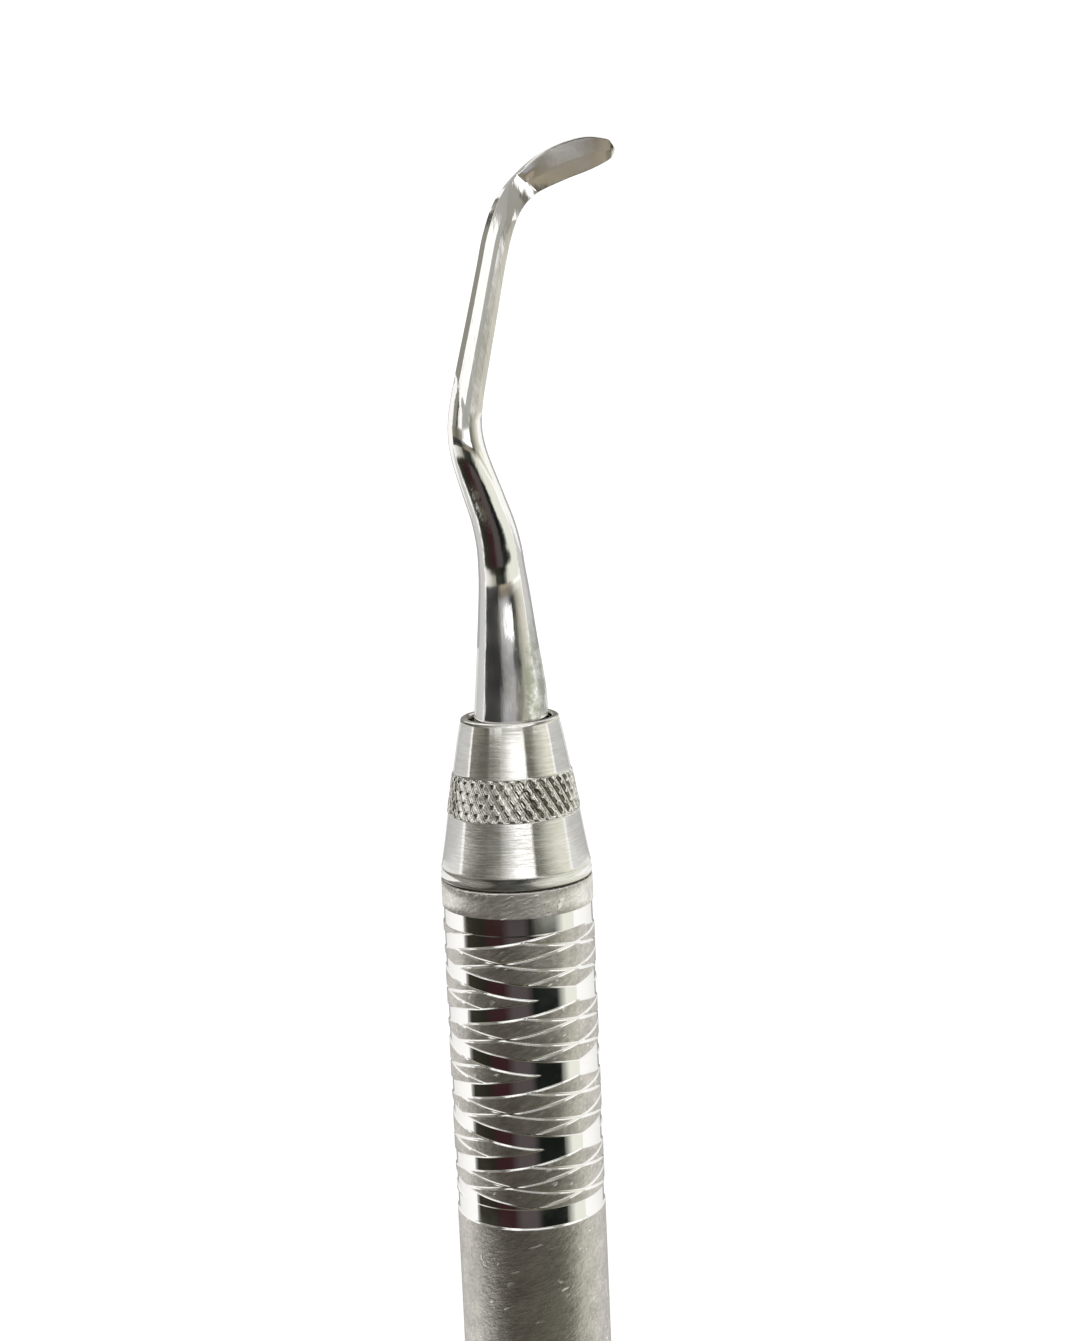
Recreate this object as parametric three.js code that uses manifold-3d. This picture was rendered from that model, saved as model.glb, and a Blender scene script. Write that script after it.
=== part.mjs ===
// Double-ended dental hand instrument with a screw-in tip at each end, in millimetres.
// The handle lies along X with its underside on Z = 0 and its middle over the origin. The front
// tip hooks towards -Y and the rear tip, its mirror image through the middle, towards +Y.
// Along each end, "out" is the distance from the handle's end face towards the tip.
import * as THREE from "three";
import { mergeVertices } from "three/addons/utils/BufferGeometryUtils.js";
import Module from "manifold-3d";

const wasm = await Module();
wasm.setup();

// Driving dimensions
const OVERALL_LENGTH = 178;
const TIP_REACH = 44.78; // from the handle's end face to the farthest point of the blade
const HANDLE_HALF = OVERALL_LENGTH / 2 - TIP_REACH;
const HANDLE_RADIUS = 4.75;
const TUBE_WALL = 0.75;
const HANDLE_SIDES = 32; // facets round the handle's tube
const END_SIDES = 24; // facets round the turned pieces at its ends

const COLLAR_LENGTH = 1.6; // flange of the threaded insert, the matt band at the handle's end
const INSERT_LENGTH = 8;
const GRIP_END = 21.5; // how far the patterned grip reaches from the handle's end
const RING_WIDTH = 0.3; // turned line that closes the grip
const RING_DEPTH = 0.08;

const THREAD_PITCH = 0.8; // M5 coarse, right-handed
const THREAD_MAJOR = 2.5;
const THREAD_MINOR = 2.02;
const THREAD_CLEARANCE = 0.12; // radial, between the spigot and the insert
const THREAD_STEPS = 12; // facets per turn of the helix
const RIDGE_ROOT_WIDTH = 0.6;
const RIDGE_CREST_WIDTH = 0.2;
const GROOVE_EXTRA_WIDTH = 0.14;
const THREAD_SINK = 0.12; // how far the helix is buried in the metal that it is joined to
const SPIGOT_LENGTH = 5.2;
const THREAD_RUNOUT = 0.45;
const LEAD_IN = 0.5; // bevel at the insert's mouth
const CHAMFER = 0.3; // on the hidden ends of the insert and the spigot

const SEAM = 0.15; // visible gap between the cone and the handle's end face
const CONE_LENGTH = 10.1;
const CONE_EDGE = 0.06; // the cone's base is this much under the handle's radius
const BASE_BEVEL = 0.1;
const MOUTH_RADIUS = 3.05;
const MOUTH_BORE = 2.62;
const MOUTH_DEPTH = 0.85;
const MOUTH_EDGE = 0.1;
const KNURL_FROM = 4.2;
const KNURL_TO = 6.74;
const KNURL_PROUD = 0.07;
const BASE_RIM = 0.86;

const TANG_RADIUS = 1.5; // root of the tip, pressed into the cone
const TANG_END = 2.8;
const TANG_SPACE = 0.2; // air behind the tang
const TANG_SHOULDER = 0.01; // the shank stands this far behind its first station
const PRESS_GAP = 0.03;

const SEAL_INNER = 3.5;
const SEAL_OUTER = 4.45;
const SEAL_THICKNESS = 0.6;
const SEAL_GAP = 0.02;
const SEAL_PLAY = 0.06; // radial, so that the faceted cone turns freely over the seal

// The tip, seen from above with its blade to the right: [out, side] of the left edge and of the
// right edge, the height of the middle over the handle's axis, and the thickness.
const SHANK_STATIONS = [
  [9.3, -2.28, 9.3, 2.4, 0, 4.68],
  [11.8, -2.04, 11.8, 2.34, 0, 4.38],
  [14.8, -1.78, 14.8, 1.95, 0, 3.73],
  [17.8, -1.55, 17.8, 1.59, 0.05, 3.14],
  [19.3, -1.5, 19.3, 1.38, 0.25, 2.88],
  [20.7, -1.53, 20.7, 1.21, 0.65, 2.72],
  [22.2, -1.74, 22.2, 0.88, 1.15, 2.58],
  [23.7, -2.12, 23.7, 0.39, 1.7, 2.4],
  [25.2, -2.51, 25.2, -0.12, 2.2, 2.3],
  [26.6, -2.8, 26.6, -0.57, 2.5, 2.2],
  [28, -2.86, 28, -0.8, 2.5, 2.05],
  [29.5, -2.66, 29.5, -0.67, 2.25, 1.9],
  [31.6, -2.16, 31.6, -0.24, 1.75, 1.8],
  [34.4, -1.46, 34.4, 0.36, 1.1, 1.7],
  [37.2, -0.78, 37.2, 0.95, 0.5, 1.6],
  [39.3, -0.27, 39.2, 1.47, 0.1, 1.4],
];
const BLADE_STATIONS = [
  [41.2, 0.5, 40.6, 2.1, -0.15, 0.95],
  [42.75, 1.8, 41.55, 3.08, -0.25, 0.65],
  [44.1, 3.68, 42.25, 4.7, -0.25, 0.5],
  [44.75, 5.8, 42.8, 6.3, -0.25, 0.42],
  [44.6, 7.25, 43.3, 7.4, -0.25, 0.36],
  [44.25, 7.62, 43.6, 7.68, -0.25, 0.3],
  [44.0, 7.76, 43.8, 7.77, -0.25, 0.2],
];
const ROUND_SECTION = 2; // exponents of the superellipse: round shank, flat blade
const FLAT_SECTION = 3.4;
const FLAT_FROM = 0.52; // share of the way along the tip where the section starts to flatten
const FLAT_TO = 0.84;
const TIP_SIDES = 12;
const STEPS_PER_STATION = 2;

const AXIS_HEIGHT = HANDLE_RADIUS * Math.cos(Math.PI / HANDLE_SIDES);

const STEEL = {
  blasted: { color: 0xb0a99c, roughness: 0.55, metalness: 1 },
  satin: { color: 0xc2c0b8, roughness: 0.38, metalness: 1 },
  polished: { color: 0xd8d7d2, roughness: 0.08, metalness: 1 },
};
const BLACK_RUBBER = { color: 0x161412, roughness: 0.7, metalness: 0 };

// A solid for joining and cutting, from a closed geometry.
function solidFrom(geometry) {
  const bare = geometry.clone();
  bare.deleteAttribute("normal");
  bare.deleteAttribute("uv");
  const merged = mergeVertices(bare);
  return new wasm.Manifold(
    new wasm.Mesh({
      numProp: 3,
      vertProperties: merged.attributes.position.array,
      triVerts: new Uint32Array(merged.index.array),
    }),
  );
}

function geometryFrom(solid) {
  const mesh = solid.getMesh();
  const geometry = new THREE.BufferGeometry();
  geometry.setAttribute("position", new THREE.BufferAttribute(mesh.vertProperties, 3));
  geometry.setIndex(new THREE.BufferAttribute(mesh.triVerts, 1));
  geometry.computeVertexNormals();
  return geometry;
}

// A piece turned about the X axis from [out, radius] points, with a facet on its underside.
function turned(profile, sides = END_SIDES) {
  const points = profile.map(([out, radius]) => new THREE.Vector2(radius, out));
  return new THREE.LatheGeometry(points, sides, Math.PI / sides).rotateZ(-Math.PI / 2);
}

// A closed skin over rings of points, each ring with the same number of them.
function loft(rings) {
  const around = rings[0].length;
  const index = [];
  for (let ring = 0; ring + 1 < rings.length; ring++)
    for (let k = 0; k < around; k++) {
      const a = ring * around + k;
      const b = ring * around + ((k + 1) % around);
      index.push(a, b, b + around, a, b + around, a + around);
    }
  const last = (rings.length - 1) * around;
  for (let k = 1; k + 1 < around; k++) {
    index.push(0, k + 1, k);
    index.push(last, last + k, last + k + 1);
  }
  const geometry = new THREE.BufferGeometry();
  geometry.setAttribute("position", new THREE.Float32BufferAttribute(rings.flat(2), 3));
  geometry.setIndex(index);
  return geometry;
}

// A right-handed helix about X from one "out" to another, with a trapezium for its section.
// Its corners fall on those of the turned pieces, so that a join adds no slivers.
function helix(from, to, innerRadius, outerRadius, innerWidth, outerWidth) {
  const rings = [];
  const step = THREAD_PITCH / THREAD_STEPS;
  for (let i = Math.ceil(from / step); i <= Math.floor(to / step); i++) {
    const out = i * step;
    const angle = (2 * Math.PI * i) / THREAD_STEPS + Math.PI / END_SIDES;
    const corner = (radius, shift) => [
      out + shift,
      radius * Math.cos(angle),
      radius * Math.sin(angle),
    ];
    rings.push([
      corner(innerRadius, -innerWidth / 2),
      corner(innerRadius, innerWidth / 2),
      corner(outerRadius, outerWidth / 2),
      corner(outerRadius, -outerWidth / 2),
    ]);
  }
  return loft(rings);
}

function handleTube() {
  const end = HANDLE_HALF - COLLAR_LENGTH;
  const ring = HANDLE_HALF - GRIP_END;
  const inner = HANDLE_RADIUS - TUBE_WALL;
  const halfOuter = [
    [ring - RING_WIDTH, HANDLE_RADIUS],
    [ring - RING_WIDTH / 2, HANDLE_RADIUS - RING_DEPTH],
    [ring, HANDLE_RADIUS],
    [end, HANDLE_RADIUS],
  ];
  const otherHalf = halfOuter.map(([out, radius]) => [-out, radius]).reverse();
  const profile = [
    [end, inner],
    [-end, inner],
    ...otherHalf,
    ...halfOuter,
    [end, inner],
  ];
  return turned(profile, HANDLE_SIDES);
}

function insert() {
  const body = HANDLE_RADIUS - TUBE_WALL - PRESS_GAP;
  const bore = THREAD_MINOR + THREAD_CLEARANCE;
  const blank = solidFrom(
    turned([
      [0, bore + LEAD_IN],
      [-LEAD_IN, bore],
      [-INSERT_LENGTH, bore],
      [-INSERT_LENGTH, body - CHAMFER],
      [-INSERT_LENGTH + CHAMFER, body],
      [-COLLAR_LENGTH, body],
      [-COLLAR_LENGTH, HANDLE_RADIUS],
      [0, HANDLE_RADIUS],
      [0, bore + LEAD_IN],
    ]),
  );
  const groove = solidFrom(
    helix(
      -SPIGOT_LENGTH - 2 * THREAD_PITCH,
      THREAD_PITCH,
      bore - THREAD_SINK,
      THREAD_MAJOR + THREAD_CLEARANCE,
      RIDGE_ROOT_WIDTH + GROOVE_EXTRA_WIDTH,
      RIDGE_CREST_WIDTH + GROOVE_EXTRA_WIDTH,
    ),
  );
  return geometryFrom(blank.subtract(groove));
}

function cone() {
  const taper = (out) =>
    THREE.MathUtils.mapLinear(out, BASE_RIM, CONE_LENGTH, HANDLE_RADIUS - CONE_EDGE, MOUTH_RADIUS);
  const sealSeat = SEAL_THICKNESS + 2 * SEAL_GAP;
  const spigotEnd = SEAM - SPIGOT_LENGTH;
  const blank = solidFrom(
    turned([
      [spigotEnd, 0],
      [spigotEnd, THREAD_MINOR - CHAMFER],
      [spigotEnd + CHAMFER, THREAD_MINOR],
      [SEAM, THREAD_MINOR],
      [SEAM, SEAL_INNER - SEAL_PLAY],
      [sealSeat, SEAL_INNER - SEAL_PLAY],
      [sealSeat, SEAL_OUTER + SEAL_PLAY],
      [SEAM, SEAL_OUTER + SEAL_PLAY],
      [SEAM, HANDLE_RADIUS - CONE_EDGE],
      [SEAM + BASE_BEVEL, HANDLE_RADIUS],
      [BASE_RIM, taper(BASE_RIM)],
      [KNURL_FROM, taper(KNURL_FROM)],
      [KNURL_FROM, taper(KNURL_FROM) + KNURL_PROUD],
      [KNURL_TO, taper(KNURL_TO) + KNURL_PROUD],
      [KNURL_TO, taper(KNURL_TO)],
      [CONE_LENGTH - MOUTH_EDGE, MOUTH_RADIUS],
      [CONE_LENGTH, MOUTH_RADIUS - MOUTH_EDGE],
      [CONE_LENGTH, MOUTH_BORE + MOUTH_EDGE],
      [CONE_LENGTH - MOUTH_EDGE, MOUTH_BORE],
      [CONE_LENGTH - MOUTH_DEPTH, MOUTH_BORE],
      [CONE_LENGTH - MOUTH_DEPTH, TANG_RADIUS + PRESS_GAP],
      [TANG_END - TANG_SPACE, TANG_RADIUS + PRESS_GAP],
      [TANG_END - TANG_SPACE, 0],
    ]),
  );
  const ridge = solidFrom(
    helix(
      spigotEnd + THREAD_RUNOUT,
      SEAM - THREAD_RUNOUT,
      THREAD_MINOR - THREAD_SINK,
      THREAD_MAJOR,
      RIDGE_ROOT_WIDTH,
      RIDGE_CREST_WIDTH,
    ),
  );
  return geometryFrom(blank.add(ridge));
}

function seal() {
  return turned([
    [SEAL_GAP, SEAL_INNER],
    [SEAL_GAP, SEAL_OUTER],
    [SEAL_THICKNESS, SEAL_OUTER],
    [SEAL_THICKNESS, SEAL_INNER],
    [SEAL_GAP, SEAL_INNER],
  ]);
}

// Shank and blade as one loft of superellipses, on a round tang.
function tip() {
  const stations = [...SHANK_STATIONS, ...BLADE_STATIONS];
  const edge = (at) => new THREE.CatmullRomCurve3(stations.map(at), false, "catmullrom", 0.5);
  const left = edge(([out, side, , , height]) => new THREE.Vector3(out, -side, height));
  const right = edge(([, , out, side, height]) => new THREE.Vector3(out, -side, height));
  const depth = edge(([, , , , , thickness], i) => new THREE.Vector3(i, thickness / 2, 0));
  const tangRing = (out) =>
    Array.from({ length: TIP_SIDES }, (_, k) => {
      const angle = (-2 * Math.PI * k) / TIP_SIDES;
      return [out, -TANG_RADIUS * Math.cos(angle), TANG_RADIUS * Math.sin(angle)];
    });
  const rings = [tangRing(TANG_END), tangRing(SHANK_STATIONS[0][0] - TANG_SHOULDER)];
  const steps = (stations.length - 1) * STEPS_PER_STATION;
  for (let i = 0; i <= steps; i++) {
    const t = i / steps;
    const from = left.getPoint(t);
    const to = right.getPoint(t);
    const middle = from.clone().add(to).multiplyScalar(0.5);
    const half = to.clone().sub(from).multiplyScalar(0.5);
    const rise = depth.getPoint(t).y;
    const flatness = THREE.MathUtils.smoothstep(t, FLAT_FROM, FLAT_TO);
    const power = 2 / THREE.MathUtils.lerp(ROUND_SECTION, FLAT_SECTION, flatness);
    const shaped = (value) => Math.sign(value) * Math.abs(value) ** power;
    rings.push(
      Array.from({ length: TIP_SIDES }, (_, k) => {
        const angle = (-2 * Math.PI * k) / TIP_SIDES;
        const point = middle.clone().addScaledVector(half, shaped(Math.cos(angle)));
        point.z += rise * shaped(Math.sin(angle));
        return point.toArray();
      }),
    );
  }
  return loft(rings);
}

function piece(name, geometry, finish) {
  const mesh = new THREE.Mesh(geometry, new THREE.MeshStandardMaterial(finish));
  mesh.name = name;
  return mesh;
}

// Everything at one end of the handle, with "out" along +X.
function handleEnd(name, mirrored) {
  const end = new THREE.Group();
  const working = piece(name + "_tip", tip(), STEEL.polished);
  if (mirrored) working.scale.z = -1;
  end.add(
    piece(name + "_insert", insert(), STEEL.blasted),
    piece(name + "_seal", seal(), BLACK_RUBBER),
    piece(name + "_cone", cone(), STEEL.satin),
    working,
  );
  end.position.x = HANDLE_HALF;
  return end;
}

const instrument = new THREE.Group();
instrument.position.z = AXIS_HEIGHT;
instrument.add(piece("handle_tube", handleTube(), STEEL.blasted));
instrument.add(handleEnd("front", false));
const rear = new THREE.Group();
rear.rotation.z = Math.PI;
rear.add(handleEnd("rear", true));
instrument.add(rear);

export default instrument;
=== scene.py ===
"""Double-ended dental hand instrument, its surfaces, camera and light.

Lengths are in millimetres, but materials work in metres. At each end "out" runs from the
handle's end face towards the tip, "side" to the right as the front blade hooks, "height" up from
the axis, and "turn" is the angle round the axis from the top towards that right side.
"""

import math

import bpy
import numpy as np
from mathutils import Matrix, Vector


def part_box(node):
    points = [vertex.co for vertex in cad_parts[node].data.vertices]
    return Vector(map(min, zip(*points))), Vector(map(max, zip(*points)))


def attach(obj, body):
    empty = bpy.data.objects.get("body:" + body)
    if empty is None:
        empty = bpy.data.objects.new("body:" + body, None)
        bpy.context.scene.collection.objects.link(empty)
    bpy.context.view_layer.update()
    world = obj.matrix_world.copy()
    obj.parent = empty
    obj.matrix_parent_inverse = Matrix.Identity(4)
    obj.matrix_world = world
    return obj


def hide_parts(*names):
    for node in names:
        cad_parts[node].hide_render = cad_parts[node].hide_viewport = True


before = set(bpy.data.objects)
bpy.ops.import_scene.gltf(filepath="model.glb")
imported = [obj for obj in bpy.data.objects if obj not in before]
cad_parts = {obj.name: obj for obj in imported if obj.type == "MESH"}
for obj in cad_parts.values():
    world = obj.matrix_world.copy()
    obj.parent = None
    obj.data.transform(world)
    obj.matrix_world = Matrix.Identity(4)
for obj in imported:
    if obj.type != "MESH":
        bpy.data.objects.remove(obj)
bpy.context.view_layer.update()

# ---------------------------------------------------------------- sizes taken from the frame
MM = 0.001
HANDLE_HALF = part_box("front_insert")[1].x / MM
HANDLE_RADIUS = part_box("handle_tube")[1].y / MM
AXIS_HEIGHT = (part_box("handle_tube")[0].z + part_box("handle_tube")[1].z) / 2 / MM
COLLAR_LENGTH = HANDLE_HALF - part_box("handle_tube")[1].x / MM
CONE_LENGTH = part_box("front_cone")[1].x / MM - HANDLE_HALF
SPIGOT_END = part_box("front_cone")[0].x / MM - HANDLE_HALF
INSERT_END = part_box("front_insert")[0].x / MM - HANDLE_HALF
SEAL_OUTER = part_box("front_seal")[1].y / MM
SEAL_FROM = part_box("front_seal")[0].x / MM - HANDLE_HALF
SEAL_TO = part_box("front_seal")[1].x / MM - HANDLE_HALF
TANG_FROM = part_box("front_tip")[0].x / MM - HANDLE_HALF

# ---------------------------------------------------------------- handle and grip
TUBE_WALL = 0.75
GRIP_FROM = COLLAR_LENGTH
GRIP_END = 21.5
GRIP_STEP = 0.032
GRIP_COLUMNS = 288
GRIP_PLAIN_END = 2.7        # plain polished ring next to the collar
GRIP_RING_FROM = 20.2       # and the one that closes the grip
RING_DEPTH = 0.085
RING_CHAMFER = 0.12
GRIP_LEAD = 4.763           # advance of the cuts in one turn
GRIP_PHASE = 4.43           # how far in from the end face spirals of both families meet
GRIP_TURN = 15.0            # and how many degrees left of the top
WIDE_HALF = 0.42            # half width and depth of the two kinds of cut
WIDE_DEPTH = 0.08
THIN_HALF = 0.01
THIN_DEPTH = 0.055
CUT_BEVEL = 0.11
CUT_SHOWS = 0.01            # depth from which a face of the grip is polished
MIDDLE_RINGS = 40           # on the plain handle between the grips

# ---------------------------------------------------------------- thread, seal and cone
THREAD_PITCH = 0.8
THREAD_MAJOR = 2.5
THREAD_MINOR = 2.02
THREAD_CLEARANCE = 0.12
THREAD_TURN = 90 - 7.5      # degrees from the top to the start of the ridge
THREAD_RUNOUT = 0.45
RUNOUT_EASE = 0.3           # over which the ridge rises and sinks
RUNOUT_GAP = 0.1
RIDGE_ROOT = 0.6
RIDGE_CREST = 0.2
GROOVE_EXTRA = 0.14         # width of the groove beyond the ridge
GROOVE_END = -6.8           # how deep the internal thread is cut
THREAD_STEP = 0.04
LEAD_IN = 0.5
CHAMFER = 0.3
PRESS_GAP = 0.03
COLLAR_EDGE = 0.05
INSERT_COLUMNS = 144
SEAM = 0.15
SEAL_INNER = 3.5
SEAL_PLAY = 0.06
SEAL_EDGE = 0.06
SEAL_COLUMNS = 96
SEAL_SEAT = SEAL_TO + 0.04  # floor of the cone's groove for the washer
MOUTH_RADIUS = 3.05
MOUTH_BORE = 2.62
MOUTH_DEPTH = 0.85
MOUTH_EDGE = 0.08
LIP_ROUND = 0.02            # how far the cone's front edge draws in, at first
LIP_FACE = 0.1              # and where the lip's flat face starts
TANG_RADIUS = 1.5
TANG_SPACE = 0.2            # of the hole beyond the tang
CONE_RIM = HANDLE_RADIUS - 0.06
RIM_FLARE = 0.04
CONE_EDGE = 0.06
# [out, radius] of the cone below its knurl and above it.
CONE_CURVE = [(0.86, 4.67), (1.5, 4.54), (2.4, 4.39), (3.3, 4.24), (4.2, 4.1)]
CONE_TOP_CURVE = [(6.74, 3.67), (7.6, 3.52), (8.6, 3.33), (9.4, 3.19), (9.95, MOUTH_RADIUS)]
KNURL_TEETH = 34
KNURL_SLOPE = 1.21          # advance along the cone of a diagonal per tooth
KNURL_PROUD = 0.07
KNURL_DEPTH = 0.26
DEEP_SLOPE = 1.1            # how steeply the deeper family of grooves rises
SHALLOW_SLOPE = 1.15
SHALLOW_FLOOR = 0.35        # and how high the floor of the other one is
KNURL_EDGE = 0.12
KNURL_RINGS = 46
FLAT_CREST = 0.8            # share of a tooth's height that is left
CONE_COLUMNS = 12 * KNURL_TEETH

# ---------------------------------------------------------------- tip
# [out, side] of the left edge and of the right edge, height over the axis, and thickness.
SHANK_STATIONS = [
    [9.3, -2.28, 9.3, 2.4, 0, 4.8],
    [11.8, -2.04, 11.8, 2.34, 0, 4.3],
    [14.8, -1.78, 14.8, 1.95, 0, 3.8],
    [17.8, -1.55, 17.8, 1.59, 0.05, 3.2],
    [19.3, -1.5, 19.3, 1.38, 0.25, 2.88],
    [20.7, -1.53, 20.7, 1.21, 0.65, 2.72],
    [22.2, -1.74, 22.2, 0.88, 1.15, 2.58],
    [23.7, -2.12, 23.7, 0.39, 1.7, 2.4],
    [25.2, -2.51, 25.2, -0.12, 2.2, 2.3],
    [26.6, -2.8, 26.6, -0.57, 2.5, 2.2],
    [28, -2.86, 28, -0.8, 2.5, 2.05],
    [29.5, -2.66, 29.5, -0.67, 2.25, 1.9],
    [31.6, -2.16, 31.6, -0.24, 1.75, 1.8],
    [34.4, -1.46, 34.4, 0.36, 1.1, 1.7],
    [37.2, -0.78, 37.2, 0.95, 0.5, 1.6],
    [39.3, -0.27, 39.2, 1.47, 0.1, 1.4],
]
BLADE_STATIONS = [
    [41.2, 0.5, 40.6, 2.1, -0.145, 0.95],
    [42.75, 1.8, 41.55, 3.08, -0.29, 0.52],
    [44.1, 3.68, 42.25, 4.7, -0.27, 0.44],
    [44.75, 5.8, 42.8, 6.3, -0.26, 0.4],
    [44.6, 7.25, 43.3, 7.4, -0.25, 0.36],
    [44.25, 7.62, 43.6, 7.68, -0.25, 0.3],
    [44.0, 7.76, 43.8, 7.77, -0.25, 0.2],
]
TIP_ROWS = 420
FACET_FROM = 10.2           # station where the grinding starts, at the right
FACET_SLANT = 1.4           # and how many stations later at the left
FACET_BLEND = 0.45
SLANT_SIDE = 0.3            # share of the half width left of which it slants
CREASED_FROM = 15.0         # station from which heights run straight, so the heel stays sharp
HEEL = len(SHANK_STATIONS) + 1.0   # station of the line across the start of the blade
HEEL_STEP = 0.16
HEEL_WIDTH = 0.055
HEEL_FADE = 0.5             # the heel line softens towards the left,
SOFT_SIDES = (-0.1, 0.5)    # between these shares of the half width, counted leftwards
STEP_SIDES = (-0.95, -0.8)  # and its step starts between these, counted rightwards
HEEL_RINGS = 40
HEEL_MARGIN = 0.1
BLADE_FROM = HEEL - 1.6     # station from which the section turns into the blade's
# Ground sections as [side, height] corners from -1 to 1, clockwise from the left edge. Each
# corner of the shank turns into the blade's corner of the same number.
SHANK_FACETS = [
    (-1, 0.55), (-0.66, 0.8), (-0.02, 0.97), (0.28, 1.0), (0.7, 0.75), (1, 0.52),
    (1, -0.4), (0.7, -0.75), (-0.1, -1.0), (-0.7, -0.75), (-1, -0.4),
]
BLADE_FACETS = [
    (-1, 0.3), (-0.88, 1.0), (-0.84, 0.99), (-0.8, 0.98), (0.12, 0.56), (0.97, 0.1),
    (1, 0.0), (0.8, -0.8), (0, -0.85), (-0.8, -0.8), (-1, -0.3),
]
# Where the points along each side of a section lie, close together at the corners.
FACET_SHARES = [0, 0.03, 0.1, 0.2, 0.3, 0.4, 0.5, 0.6, 0.7, 0.8, 0.9, 0.97]

# ---------------------------------------------------------------- finishes
# Places are in metres from the handle's middle, [from, to].
FLECK_SLANT = math.radians(-68)
RIM_SPECK_BAND = ((HANDLE_HALF - 0.3) * MM, (HANDLE_HALF - 0.1) * MM)
# Place of a darker greenish patch on the front tip, near its root and on its right flank.
DARK_PATCH_ALONG = ((HANDLE_HALF + 14.0) * MM, (HANDLE_HALF + 17.0) * MM)
DARK_PATCH_ACROSS = (-1.2 * MM, -0.6 * MM)
BLASTED_COLOUR = (0.5, 0.475, 0.435)
# The collar's blasted steel is a lighter copy of the handle's: painted light on the collar.
LIT_COLLAR_COLOUR = (0.72, 0.69, 0.65)
# Near-white base colour for the painted glints, and for the specks near the collar's rim.
FLECK_COLOUR = (0.95, 0.93, 0.9)
TIP_COLOUR = (0.84, 0.83, 0.8)
DARK_PATCH_COLOUR = (0.47, 0.49, 0.41)

# ---------------------------------------------------------------- camera and light
CAMERA_OUT = 34.588
CAMERA_SIDE = 2.0
CAMERA_HEIGHT = 133.594
# Directions of the camera's own axes.
CAMERA_RIGHT = (-0.042804, -0.999059, 0.006974)
CAMERA_UP = (0.986056, -0.043369, -0.160661)
CAMERA_BACK = (0.160812, 0.0, 0.986985)
CAMERA_LENS = 59.06
CAMERA_SENSOR = 36.0
CAMERA_CLIP = (0.005, 10)    # metres
WORLD_LIGHT = 1.25
FLOOR_GLOW = 0.85
FLOOR_ALBEDO = 0.3
MIRRORED_ALBEDO = 0.92
# Patches of the table that only the steel mirrors: name, drop, centre, length, width, albedo.
SHADES = [
    ("cone_light", 0.08, 51.0, 14.0, 13.0, 0.8),
    ("table_shade", 0.09, 0.0, 200.0, 14.0, 0.42),
    ("cone_shade", 0.095, 54.0, 19.0, 130.0, 0.56),
]
FLOOR_DROP = 0.05
FLOOR_SIZE = 3000.0
NEAR_RADIUS = 100.0         # of the painted vault over the handle
FAR_RADIUS = 450.0          # and of the larger one over the whole instrument
END_TOP = 200.0             # of the cards across the larger vault's ends
VAULT_HALF_TURN = 145.0     # degrees from the top to each lower edge of a vault
VAULT_STEP = 4.0
VAULT_ANGLE_STEP = 1.0


# ================================================================ meshes
def add_to_scene(name, data):
    made = bpy.data.objects.new(name, data)
    bpy.context.scene.collection.objects.link(made)
    return made


def new_mesh_object(name, points, quads, finishes, finish_of_face):
    """A smooth mesh object from arrays, with one material slot per finish."""
    mesh = bpy.data.meshes.new(name)
    mesh.vertices.add(len(points))
    mesh.vertices.foreach_set("co", np.ascontiguousarray(points, np.float32).ravel())
    mesh.loops.add(quads.size)
    mesh.loops.foreach_set("vertex_index", np.ascontiguousarray(quads, np.int32).ravel())
    mesh.polygons.add(len(quads))
    mesh.polygons.foreach_set("loop_start", np.arange(0, quads.size, 4, dtype=np.int32))
    mesh.update(calc_edges=True)
    mesh.polygons.foreach_set("use_smooth", np.ones(len(quads), bool))
    for finish in finishes:
        mesh.materials.append(finish)
    mesh.polygons.foreach_set("material_index", np.ascontiguousarray(finish_of_face, np.int32))
    mesh.update()
    return add_to_scene(name, mesh)


def skin(name, rows, finishes, finish_of_face=None, flipped=False):
    """A skin over rings of points, in order along +out, each going round by rising turn."""
    count, around = rows.shape[:2]
    index = np.arange(count * around).reshape(count, around)
    here = index[:-1]
    ahead = index[1:]
    corners = [here, np.roll(here, -1, 1), np.roll(ahead, -1, 1), ahead]
    if flipped:
        corners.reverse()
    quads = np.stack(corners, -1).reshape(-1, 4)
    if finish_of_face is None:
        finish_of_face = np.zeros(len(quads), int)
    return new_mesh_object(name, rows.reshape(-1, 3), quads, finishes, finish_of_face.ravel())


def placed(out, side, height, rear):
    """World points from places at one end of the instrument. The rear end is turned half round."""
    way = -1 if rear else 1
    out, side, height = np.broadcast_arrays(out, side, height)
    return np.stack([way * (HANDLE_HALF + out), -way * side, AXIS_HEIGHT + height], -1) * MM


def turns(columns):
    return np.linspace(0, 2 * np.pi, columns, endpoint=False)


def all_round(radii, columns):
    """The same radius in every column of a ring."""
    return np.repeat(np.array(radii)[:, None], columns, 1)


def turned_rows(outs, radii, columns, rear):
    """Rings about the axis. radii is one radius per ring, or one per ring and column."""
    turn = turns(columns)
    radii = np.asarray(radii, float)
    if radii.ndim == 1:
        radii = radii[:, None]
    outs = np.asarray(outs, float)[:, None]
    return placed(outs, radii * np.sin(turn), radii * np.cos(turn), rear)


def sharp_profile(corners, longest=0.6):
    """Rings along straight lines between corners, doubled at each corner to keep it sharp."""
    outs, radii = [], []
    for (out_a, radius_a), (out_b, radius_b) in zip(corners[:-1], corners[1:]):
        length = math.hypot(out_b - out_a, radius_b - radius_a)
        steps = max(2, math.ceil(length / longest) + 1)
        outs += list(np.linspace(out_a, out_b, steps))
        radii += list(np.linspace(radius_a, radius_b, steps))
    return outs, radii


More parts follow.
